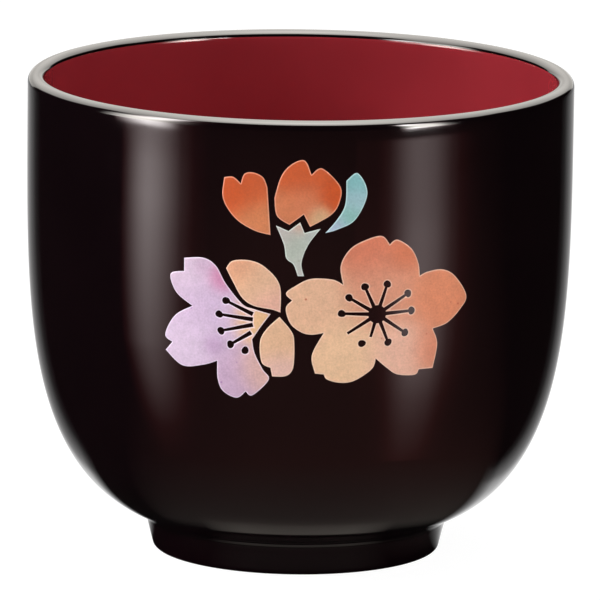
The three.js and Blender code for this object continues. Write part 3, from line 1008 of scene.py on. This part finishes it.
SPRAY = (
    Drawing(
        piece="right_blossom",
        node="film_right_blossom",
        slot=Slot.SALMON,
        outline=(
            ((5.0, 3.5),), ((4.7, 5.7), (5.8, 7.6), (7.7, 8.6), (9.4, 8.9), (10.3, 7.9)),
            ((11.2, 8.4), (12.9, 7.3), (13.8, 5.6), (14.0, 4.1)),
            ((15.0, 4.5), (16.9, 4.6), (18.6, 3.7), (20.3, 1.3), (19.5, -0.2), (17.8, -1.6), (15.9, -2.1)),
            ((16.6, -3.9), (16.2, -6.7)), ((14.4, -6.7),), ((13.9, -7.3), (11.7, -7.1), (10.3, -6.2), (9.0, -5.1)),
            ((8.6, -6.3), (6.6, -7.6), (4.9, -7.8), (3.4, -7.4), (3.0, -6.8)), ((2.0, -6.7),),
            ((1.6, -4.6), (2.9, -2.0)), ((1.5, -2.2), (0.3, -1.9), (-0.9, -0.9), (-1.4, 0.8), (-0.7, 1.7)),
            ((-1.4, 2.5), (-0.3, 3.4), (1.4, 4.2), (3.8, 4.1), (5.0, 3.5)),
        ),
        washes=(
            Wash((8.2, 7.4), 2.6, (205, 114, 84)), Wash((11.8, 6.6), 1.5, (196, 106, 70)),
            Wash((9.4, 3.0), 3.2, (208, 141, 113)), Wash((17.6, 1.4), 3.6, (209, 128, 92)),
            Wash((12.0, -5.0), 3.0, (225, 174, 152)), Wash((15.6, -4.6), 1.9, (206, 124, 92)),
            Wash((5.0, -5.2), 3.4, (227, 185, 148)), Wash((1.4, 1.0), 3.2, (220, 173, 141)),
        ),
        hub=(9.0, 0.0),
        anthers=(*RIGHT_STAMENS, (7.3, -3.3), (4.9, 0.2), (5.7, 2.0)),
        filaments=tuple(
            (tip, (9.0, 0.0)) for tip in (*RIGHT_STAMENS, (8.3, -2.6), (5.6, -2.1), (4.9, 0.2), (5.7, 2.0))
        ),
    ),
    Drawing(
        piece="left_blossom_joined_petals",
        node="film_left_blossom",
        slot=Slot.LILAC,
        outline=(
            ((-13.2, 4.4),), ((-13.2, 5.9),),
            ((-10.9, 6.1), (-9.4, 5.3), (-8.2, 3.3), (-6.3, 1.1), (-5.0, 0.6), (-3.1, 0.1)),
            ((-4.2, -1.4), (-5.2, -2.9)), ((-4.9, -4.5), (-4.0, -6.3), (-3.3, -7.5), (-5.2, -9.4), (-6.0, -9.0)),
            ((-7.1, -9.8), (-8.7, -9.1), (-9.3, -7.7), (-9.3, -5.6)), ((-11.0, -6.2), (-13.6, -6.5), (-15.7, -4.9)),
            ((-14.8, -3.9),), ((-15.7, -3.1), (-14.4, -0.8), (-12.2, 0.5)), ((-14.2, 1.9), (-14.9, 3.9), (-13.2, 4.4)),
        ),
        washes=(
            Wash((-12.8, 4.4), 2.4, (200, 177, 197)), Wash((-11.0, 1.0), 3.0, (195, 169, 198)),
            Wash((-13.4, -4.0), 3.0, (203, 180, 204)), Wash((-8.9, 3.9), 1.2, (193, 110, 150)),
            Wash((-11.1, 4.9), 0.9, (176, 143, 170)), Wash((-9.9, -3.8), 0.9, (176, 143, 178)),
            Wash((-4.4, -0.1), 1.9, (218, 174, 130)), Wash((-7.6, -7.6), 2.4, (188, 157, 184)),
            Wash((-4.8, -6.6), 1.7, (211, 168, 157)),
        ),
        anthers=LEFT_ANTHERS,
        filaments=(
            ((-8.2, 1.4), (-5.1, 0.0)), ((-9.0, -0.2), (-5.1, -0.6)), ((-8.8, -2.1), (-5.1, -1.2)),
            ((-7.7, -3.6), (-5.3, -2.1)),
        ),
    ),
    Drawing(
        piece="left_blossom_upper_petal",
        node="film_left_blossom_upper_petal",
        slot=Slot.PEACH,
        outline=(
            ((-8.2, 5.1),), ((-7.4, 6.0), (-5.3, 6.1), (-3.6, 5.3), (-2.1, 3.4), (-2.0, 0.3)),
            ((-2.9, 0.6), (-5.1, 1.0), (-6.4, 1.9), (-7.4, 3.6), (-8.2, 5.1)),
        ),
        washes=(
            Wash((-6.6, 5.4), 1.8, (214, 153, 119)), Wash((-4.2, 3.6), 2.2, (215, 171, 139)),
            Wash((-2.8, 1.0), 1.8, (217, 164, 148)),
        ),
    ),
    Drawing(
        piece="left_blossom_lower_petal",
        node="film_left_blossom_lower_petal",
        slot=Slot.PEACH,
        outline=(
            ((-2.1, -0.2),), ((-0.7, -1.9), (-0.4, -3.3), (-0.5, -6.0), (-1.3, -7.0), (-2.9, -7.1)), ((-3.1, -6.1),),
            ((-4.1, -5.5), (-4.3, -3.2), (-3.6, -1.7), (-2.1, -0.2)),
        ),
        washes=(Wash((-2.2, -2.6), 2.4, (216, 172, 138)), Wash((-1.8, -6.6), 1.8, (220, 177, 166))),
    ),
    Drawing(
        piece="bud_left_petal",
        node="film_bud_left_petal",
        slot=Slot.VERMILION,
        outline=(
            ((-8.5, 15.4),), ((-7.5, 15.5), (-6.6, 14.8)), ((-6.2, 15.9), (-5.2, 16.1), (-4.1, 15.6), (-3.6, 14.5)),
            ((-3.2, 9.1),), ((-4.9, 9.5), (-6.8, 10.5), (-8.1, 11.9), (-8.7, 13.4), (-8.5, 15.4)),
        ),
        washes=(
            Wash((-7.4, 14.0), 2.2, (184, 72, 14)), Wash((-4.8, 14.4), 1.8, (185, 79, 30)),
            Wash((-4.2, 10.6), 2.2, (198, 118, 74)),
        ),
    ),
    Drawing(
        piece="bud_middle_petal",
        node="film_bud_middle_petal",
        slot=Slot.VERMILION,
        outline=(
            ((-2.8, 13.3),), ((-2.1, 15.7), (-1.0, 17.1), (0.5, 17.6), (1.3, 16.0)),
            ((2.5, 16.7), (4.5, 14.7), (4.5, 13.0), (3.6, 11.5), (1.2, 10.1)), ((0.5, 11.5),), ((-1.1, 10.3),),
            ((-2.5, 11.3), (-2.8, 13.3)),
        ),
        washes=(
            Wash((0.0, 16.2), 2.4, (191, 80, 28)), Wash((-1.4, 11.8), 1.9, (196, 114, 74)),
            Wash((0.6, 12.8), 1.6, (200, 114, 76)), Wash((3.8, 13.6), 1.5, (192, 74, 10)),
            Wash((2.2, 11.2), 1.0, (198, 162, 122)),
        ),
    ),
    Drawing(
        piece="bud_right_petal",
        node="film_bud_right_petal",
        slot=Slot.TURQUOISE,
        outline=(
            ((5.2, 15.3),), ((6.5, 16.1), (7.6, 13.8), (6.3, 10.9), (4.3, 9.8), (2.9, 9.4)),
            ((4.2, 10.9), (5.1, 12.6), (5.2, 15.3)),
        ),
        washes=(
            Wash((6.3, 15.0), 1.6, (120, 174, 176)), Wash((6.2, 13.0), 1.2, (156, 186, 196)),
            Wash((5.6, 11.4), 1.3, (128, 180, 172)), Wash((3.9, 9.9), 1.3, (164, 180, 201)),
        ),
    ),
    Drawing(
        piece="bud_calyx",
        node="film_bud_calyx",
        slot=Slot.GREY_GREEN,
        outline=(
            ((-2.6, 10.2),), ((-1.2, 9.6),), ((0.1, 10.6),), ((0.6, 9.4),), ((2.4, 9.9),),
            ((1.0, 8.0), (0.3, 6.0), (0.6, 4.5)), ((-0.1, 4.5),),
            ((-0.6, 5.8), (-1.4, 6.5), (-1.7, 8.1), (-2.6, 10.2)),
        ),
        washes=(
            Wash((0.1, 10.2), 0.8, (190, 156, 140)), Wash((-1.8, 9.4), 1.2, (177, 168, 163)),
            Wash((1.4, 9.4), 0.9, (170, 176, 172)), Wash((-0.4, 7.4), 1.8, (172, 179, 168)),
            Wash((0.2, 5.0), 1.2, (177, 176, 171)),
        ),
    ),
)


@dataclass(frozen=True)
class Spray:
    """The spray of cherry blossom: its eight films, one after the other."""

    form: CupForm
    drawings: tuple[Drawing, ...] = SPRAY

    def build(self) -> None:
        """Builds and dresses every film, with one finish for each slot."""
        finishes = {
            Slot.SALMON: FilmFinish("salmon_film", (240, 206, 186), (176, 78, 54)),
            Slot.LILAC: FilmFinish("lilac_film", (236, 222, 240), (142, 96, 156)),
            Slot.PEACH: FilmFinish("peach_film", (242, 212, 190), (166, 84, 50), speck_share=0.03),
            Slot.VERMILION: FilmFinish("vermilion_film", (236, 172, 146), (186, 60, 28)),
            Slot.TURQUOISE: FilmFinish("turquoise_film", (206, 232, 232), (92, 150, 160)),
            Slot.GREY_GREEN: FilmFinish("grey_green_film", (216, 226, 220), (150, 150, 130)),
        }
        materials = {slot: finish.material() for slot, finish in finishes.items()}
        for drawing in self.drawings:
            Film(self.form, drawing).build(materials[drawing.slot])


def glow_panel(name: str, points: Array, glow: Array, cool: Array) -> None:
    """Makes a stage panel that only gloss sees. It adds the light of its `glow` attribute to what lies behind it.

    Args:
        name: the panel's name.
        points: corners in millimetres, in rows and columns.
        glow: red light of each corner, 1 for white, in the same rows and columns.
        cool: green and blue light of each corner, as shares of the red.
    """
    index = np.arange(glow.size).reshape(glow.shape)
    quads = np.stack([index[:-1, :-1], index[:-1, 1:], index[1:, 1:], index[1:, :-1]], axis=2).reshape(-1, 4)
    panel = make_object(name, points.reshape(-1, 3), quads.tolist(), 180)
    light = np.concatenate([np.ones((*glow.shape, 1)), np.broadcast_to(cool, (*glow.shape, 2))], axis=2)
    light = np.concatenate([light * glow[..., None], np.ones((*glow.shape, 1))], axis=2).astype(np.float32)
    panel.data.attributes.new("glow", "FLOAT_COLOR", "POINT").data.foreach_set("color", light.ravel())
    material, bench = new_material(name)
    shine = bench.emission(bench.add("Attribute", attribute_name="glow").outputs["Color"], 1.0)
    bench.add("OutputMaterial", {"Surface": bench.sum(shine, bench.add("BsdfTransparent").outputs[0])})
    panel.data.materials.append(material)
    panel.visible_camera = panel.visible_diffuse = panel.visible_transmission = False
    panel.visible_shadow = panel.visible_volume_scatter = False


@dataclass(frozen=True)
class SideCard:
    """A reflector that lies on the ground beside the cup and sweeps up into a curved card, with a lamp at its top.

    It is drawn from what the wall shows of it. A face angle, in degrees from the front's middle toward +X, says where
    round the wall a part of it is mirrored. A run is counted out along the ground and then up the card.
    """

    name: str
    across: tuple[Point, ...]
    along: tuple[Point, ...]
    lamp: tuple[Point, ...]
    lamp_level: float
    lamp_rise: float
    lean: float = 0.0005
    near: float = 40.0
    radius: float = 108.0
    top: float = 150.0
    top_fade: float = 15.0
    gap: tuple[float, ...] = (50.0, 54.0, 98.0, 90.0)
    stand_off: float = 6.4
    stand_off_rise: float = 0.04
    rise_limit: float = 35.0
    clear: float = 0.3
    warmth: float = 0.31
    least_cool: float = 0.2
    sweep: Point = (20.0, 100.0)
    ground_rows: int = 69
    card_rows: int = 300
    columns: int = 241

    def mirrored(self, azimuth: Array, radius: Array, height: Array) -> Array:
        """Face angle of the wall that mirrors a place: half the azimuth, and a little more the nearer the place is,
        since the wall stands off the axis. The lean adds to it on the ground, which turns the strip inward."""
        share = 0.5 + (self.stand_off + self.stand_off_rise * np.minimum(height, self.rise_limit)) / radius
        return azimuth * share * (1 + self.lean * (self.radius - radius))

    def build(self) -> None:
        """Builds the reflector.

        Its light is a share that depends on the face angle times a level that depends on the run. The lamp adds a
        light that depends on the face angle and shows above the lamp's level, but for a gap in height that the
        canopy's own lamps fill from afar. The light is warm where it is weak: green and blue are red times
        1 - warmth / sqrt(red), and never less than a least share.
        """
        side = 1 if self.across[-1][0] > 0 else -1
        out = np.linspace(self.near, self.radius, self.ground_rows)
        up = np.linspace(0, self.top, self.card_rows + 1)[1:]
        radius = np.concatenate([out, np.full(len(up), self.radius)])[:, None]
        height = np.concatenate([np.full(len(out), self.clear), up + self.clear])[:, None]
        azimuth = np.radians(np.linspace(*self.sweep, self.columns))[None, :]
        face = side * np.degrees(self.mirrored(azimuth, radius, height))
        glow = follow(face, self.across) * follow(radius - self.near + height, self.along)
        lit = ease(height, self.lamp_level, self.lamp_level + self.lamp_rise)
        lit = lit * ease(height, self.top, self.top - self.top_fade)
        lit = lit * (1 - ease(height, *self.gap[:2]) * ease(height, *self.gap[2:]))
        glow = glow + follow(face, self.lamp) * lit
        x, y = side * radius * np.sin(azimuth), -radius * np.cos(azimuth)
        points = np.stack([x, y, np.broadcast_to(height, glow.shape)], axis=2)
        cool = np.clip(1 - self.warmth / np.sqrt(np.maximum(glow, TINY)), self.least_cool, 1)
        glow_panel(self.name, points, glow, cool[..., None])


LEFT_CARD = SideCard(
    "left_card",
    across=(
        (-40.0, 0.0), (-38.5, 0.12), (-37.2, 0.32), (-35, 0.76), (-33.5, 0.97), (-32.3, 1.0), (-30.5, 0.86),
        (-28.7, 0.62), (-27, 0.38), (-25, 0.14), (-22, 0.03), (-18.5, 0.0),
    ),
    along=(
        (2, 0.03), (13, 0.18), (26, 0.56), (41, 1.0), (60, 1.4), (72, 1.9), (84, 2.7), (93, 3.5), (98, 4.1),
        (102.5, 3.9), (105, 3.1), (108, 3.0),
    ),
    lamp=(
        (-42, 0.0), (-40, 4.0), (-36.5, 12.5), (-33, 18.0), (-30, 15.0), (-28, 8.0), (-26.5, 2.5), (-25.5, 0.6),
        (-24, 0.0),
    ),
    lamp_level=40.4,
    lamp_rise=1.3,
    lean=0.0014,
)
RIGHT_CARD = SideCard(
    "right_card",
    across=(
        (16.0, 0.03), (18.5, 0.13), (20.0, 0.32), (22.0, 0.69), (23.7, 0.94), (25.2, 1.0), (26.7, 0.95),
        (29.0, 0.74), (31.0, 0.43), (32.7, 0.21), (35.0, 0.08), (38.0, 0.02), (41.0, 0.0),
    ),
    along=(
        (0, 0.15), (5, 0.28), (15, 0.48), (29, 0.85), (44, 1.45), (60, 2.0), (93, 2.3), (97, 2.05), (106.8, 1.95),
        (107.6, 0.0),
    ),
    lamp=((20.5, 0.0), (21.5, 5.0), (22.8, 26), (23.8, 35), (25, 27), (27.4, 13.5), (29, 8.5), (31, 3.5), (34, 0.0)),
    lamp_level=42.2,
    lamp_rise=0.8,
    top=125.0,
)


@dataclass(frozen=True)
class Canopy:
    """The room that the gloss shows: a half sphere, dark low in front, pale behind, with a soft box overhead and a
    low lamp on each side."""

    radius: float = 1500.0
    room: float = 0.004
    edge: tuple[Point, ...] = (
        (0, 61), (45, 58), (78, 47), (92, 39), (106, 38), (115, 31), (125, 24), (140, 16), (150, 7), (158, -6),
        (166, -16), (180, -20),
    )
    light: tuple[Point, ...] = (
        (-8, 0.6), (0, 0.95), (10, 1.05), (20, 2.1), (30, 2.8), (40, 4.2), (50, 5.5), (60, 7.2), (70, 9.4),
        (80, 12.0), (90, 14.0),
    )
    lamps: tuple[Point, ...] = (
        (-92, 0.0), (-88, 2.5), (-80, 11.0), (-74, 17.0), (-66, 17.0), (-60, 12.0), (-56, 5.0), (-51, 1.5), (-46, 0.3),
        (-42, 0.0), (42, 0.0), (46, 13.0), (49, 21.0), (57, 21.0), (60, 14.0), (64, 3.0), (69, 0.0),
    )
    veil: tuple[Point, ...] = ((-94, 0.0), (-86, 2.5), (-78, 4.5), (-64, 4.5), (-54, 0.0))
    lean: float = 3.5
    edge_width: float = 5.0
    lamp_foot: Point = (-3.5, -1.5)
    lamp_top: Point = (34.0, 24.0)
    veil_foot: Point = (14.0, 22.0)
    tint: Point = (0.96, 0.9)
    lowest: float = -4.0
    rows: int = 189
    columns: int = 217

    def build(self) -> None:
        """Builds the half sphere.

        Azimuth is counted from the front toward +X. The pale part starts at the edge's elevation, which falls from
        the front to the back, with its middle turned toward +X by the lean, and its light grows with the elevation.
        The lamps lie low, between their foot and their top, and the veil hangs above its foot.
        """
        turn = np.linspace(0, 2 * np.pi, self.columns)[None, :]
        rise = np.radians(np.linspace(self.lowest, 90, self.rows))[:, None]
        azimuth = (np.degrees(turn) + 180) % 360 - 180
        elevation = np.degrees(rise)
        start = follow(np.abs(azimuth - self.lean), self.edge)
        overhead = follow(elevation, self.light) * ease(elevation, start, start + self.edge_width)
        lamps = follow(azimuth, self.lamps) * ease(elevation, *self.lamp_foot) * ease(elevation, *self.lamp_top)
        veil = follow(azimuth, self.veil) * ease(elevation, *self.veil_foot)
        glow = self.room + np.maximum(overhead, veil) + lamps
        x, y = self.radius * np.cos(rise) * np.sin(turn), -self.radius * np.cos(rise) * np.cos(turn)
        z = np.broadcast_to(self.radius * np.sin(rise), glow.shape)
        glow_panel("gloss_canopy", np.stack([x, y, z], axis=2), glow, np.array(self.tint))


@dataclass(frozen=True)
class Studio:
    """Floor, world, lamps, reflector cards and camera."""

    floor_half: float = 4000.0
    room: float = 0.004
    # Painted light for gloss on the floor: the warm pool's level by distance from the axis in millimetres, none within
    # the foot's painted shadow ring.
    pool: tuple[Point, ...] = (
        (17.2, 0.0), (18.5, 0.13), (21.0, 0.15), (25.0, 0.2), (36.0, 0.23), (60.0, 0.2), (200.0, 0.21),
        (330.0, 0.09), (800.0, 0.0),
    )
    # A painted bright band just round the foot, which the cove shows as a glint.
    spot: tuple[Point, ...] = ((16.7, 0.0), (17.2, 0.3), (18.8, 0.27), (20.0, 0.2), (21.3, 0.05), (23.0, 0.0))
    wedge: tuple[Point, ...] = ((0.0, 1.0), (0.08, 0.95), (0.22, 0.5), (0.42, 0.25), (0.59, 0.05), (0.75, 0.0))
    pool_way: Point3 = (0.208, -0.978, 0.0)
    spot_way: Point3 = (0.02, -1.0, 0.0)
    wedge_side: float = 28.5
    wedge_depth: float = 12.0
    wedge_turn: float = 0.12
    seen_glow: float = 0.95
    seen_grey: float = 0.16
    plain_grey: float = 0.8
    ambient: float = 0.53
    key_power: float = 20.0
    fill_power: float = 3.0
    side_power: float = 2.5
    target: Point3 = (0.18, 0.0, 28.59)
    pitch: float = 11.28
    distance: float = 1100.0
    focal_pixels: float = 9599.0
    picture_width: int = 600
    roll: float = 0.7

    def floor(self) -> None:
        """The pale floor. The camera sees it near white with the cup's shadow, and other rays see plain white. Gloss
        sees it as the photographer's table: dim, with a painted warm pool of light before the cup, a painted bright
        band just round the foot that the cove shows as a glint, a painted shadow ring round the foot and a white wedge
        that opens behind."""
        size = self.floor_half
        points = np.array([[-size, -size, 0], [size, -size, 0], [size, size, 0], [-size, size, 0]])
        floor = make_object("studio_floor", points, [[0, 1, 2, 3]], 30)
        material, bench = new_material("studio_floor")
        path = bench.add("LightPath")
        where = bench.add("TexCoord").outputs["Object"]
        spot = bench.add("SeparateXYZ", {0: where})
        apart = bench.add("VectorMath", {0: where}, operation="LENGTH").outputs["Value"]

        def lit(rings: tuple[Point, ...], way: Point3, dark: float, full: float, least: float):
            """Light that follows rings round the foot and fades aside of a way, from its full to its dark angle."""
            along = bench.add("VectorMath", {0: where, 1: way}, operation="DOT_PRODUCT").outputs["Value"]
            cosines = (math.cos(math.radians(angle)) for angle in (dark, full))
            share = bench.map(bench.math("DIVIDE", along, apart), *cosines, least, 1)
            light = bench.curve(apart, tuple((radius * MM, level) for radius, level in rings))
            return bench.math("MULTIPLY", light, share)

        # Painted light: the warm pool and the glint band, as light that only gloss sees on the floor.
        warm = bench.math("ADD", lit(self.pool, self.pool_way, 80, 25, 0.02), lit(self.spot, self.spot_way, 42, 22, 0))
        warmth = bench.mix(bench.map(apart, 0.019, 0.04, 0, 1), (1.0, 0.9, 0.8, 1), (1.0, 0.4, 0.32, 1))
        aside = bench.math("SUBTRACT", bench.math("ABSOLUTE", spot.outputs["X"], 0.0), self.wedge_side * MM)
        back = bench.math("ADD", bench.math("MAXIMUM", spot.outputs["Y"], 0.0), self.wedge_depth * MM)
        wedge = bench.curve(bench.math("DIVIDE", aside, back), self.wedge)
        turned_back = bench.math("ADD", spot.outputs["Y"], bench.math("MULTIPLY", spot.outputs["X"], self.wedge_turn))
        clear = bench.map(turned_back, -0.001, 0.008, 0, 1)
        white = bench.math("ADD", bench.math("MULTIPLY", wedge, clear), self.room)
        shown = bench.sum(bench.emission(warmth, warm), bench.emission(WHITE, white))
        seen = bench.sum(bench.emission(WHITE, self.seen_glow), bench.matt(self.seen_grey))
        by_gloss = bench.switch(path.outputs["Is Glossy Ray"], bench.matt(self.plain_grey), shown)
        bench.add("OutputMaterial", {"Surface": bench.switch(path.outputs["Is Camera Ray"], by_gloss, seen)})
        floor.data.materials.append(material)

    def world(self) -> None:
        """The world: white where the camera sees it, black for gloss, which has the canopy, and a plain even light
        for everything else."""
        world = bpy.data.worlds.new("studio_light")
        world.use_nodes = True
        bench = Bench(world.node_tree)
        path = bench.add("LightPath")
        shown = bench.map(path.outputs["Is Glossy Ray"], 0, 1, self.ambient, 0)
        plain, white = (
            bench.add("Background", {"Color": WHITE, "Strength": strength}).outputs[0] for strength in (shown, 1.0)
        )
        bench.add("OutputWorld", {"Surface": bench.switch(path.outputs["Is Camera Ray"], plain, white)})
        bpy.context.scene.world = world

    def lamp(self, name: str, place: Point3, size: float, power: float) -> None:
        """Adds a round lamp that points at the cup and that gloss doesn't see, in metres and watts."""
        data = bpy.data.lights.new(name, "AREA")
        data.shape, data.size, data.energy = "DISK", size, power
        lamp = bpy.data.objects.new(name, data)
        spot = Vector(place)
        lamp.matrix_world = Matrix.Translation(spot) @ (-spot).to_track_quat("-Z", "Y").to_matrix().to_4x4()
        lamp.visible_glossy = False
        bpy.context.scene.collection.objects.link(lamp)

    def lamps(self) -> None:
        """A broad key lamp on the left, a weak one on the right, and in front a fill too low to reach the inside. Gloss
        sees the cards and the canopy instead."""
        self.lamp("key_lamp", (-1.2, -0.2, 0.9), 0.9, self.key_power)
        self.lamp("side_lamp", (1.2, -0.3, 0.7), 0.5, self.side_power)
        self.lamp("fill_lamp", (-0.1, -1.3, 0.06), 0.1, self.fill_power)

    def camera(self) -> None:
        """The camera at the photograph's angle: long, slightly above, and turned a hair about its own axis."""
        data = bpy.data.cameras.new("camera")
        data.sensor_fit, data.sensor_width = "HORIZONTAL", 36.0
        data.lens = self.focal_pixels * data.sensor_width / self.picture_width
        camera = bpy.data.objects.new("camera", data)
        pitch = math.radians(self.pitch)
        back = Vector((0, -math.cos(pitch), math.sin(pitch)))
        turn = (-back).to_track_quat("-Z", "Y").to_matrix().to_4x4()
        place = Vector(self.target) * MM + back * self.distance * MM
        camera.matrix_world = Matrix.Translation(place) @ turn @ Matrix.Rotation(math.radians(self.roll), 4, "Z")
        bpy.context.scene.collection.objects.link(camera)
        bpy.context.scene.camera = camera

    def build(self) -> None:
        """Sets up the stage and the view."""
        self.floor()
        self.world()
        self.lamps()
        Canopy().build()
        LEFT_CARD.build()
        RIGHT_CARD.build()
        self.camera()
        bpy.context.scene.view_settings.view_transform = "Standard"


def main() -> None:
    """Builds the cup's sub-assemblies in order, then the studio."""
    logging.basicConfig(level=logging.INFO, format="%(name)s %(message)s")
    form = CupForm()
    wood = WoodFinish("turned_wood").material()
    black = LacquerFinish("black_lacquer", (10, 4, 6), (12, 5, 7)).material()
    # The foot's copy of the black lacquer is rubbed brown below 0.35 mm, which is wear. Its lower shine is painted
    # shade: it dims what the foot's front mirrors to the dark of the shade under the cup.
    foot_black = LacquerFinish("foot_black_lacquer", (13, 4, 7), (15, 5, 8), worn_below=0.35, shine=0.13).material()
    red = LacquerFinish("red_lacquer", (154, 47, 55), (147, 43, 51), roughness=0.07, ripple=0.001).material()
    Bowl(form).build(wood, black, red)
    Foot(form).build(wood, foot_black)
    Spray(form).build()
    Studio().build()


if __name__ == "__main__":
    main()
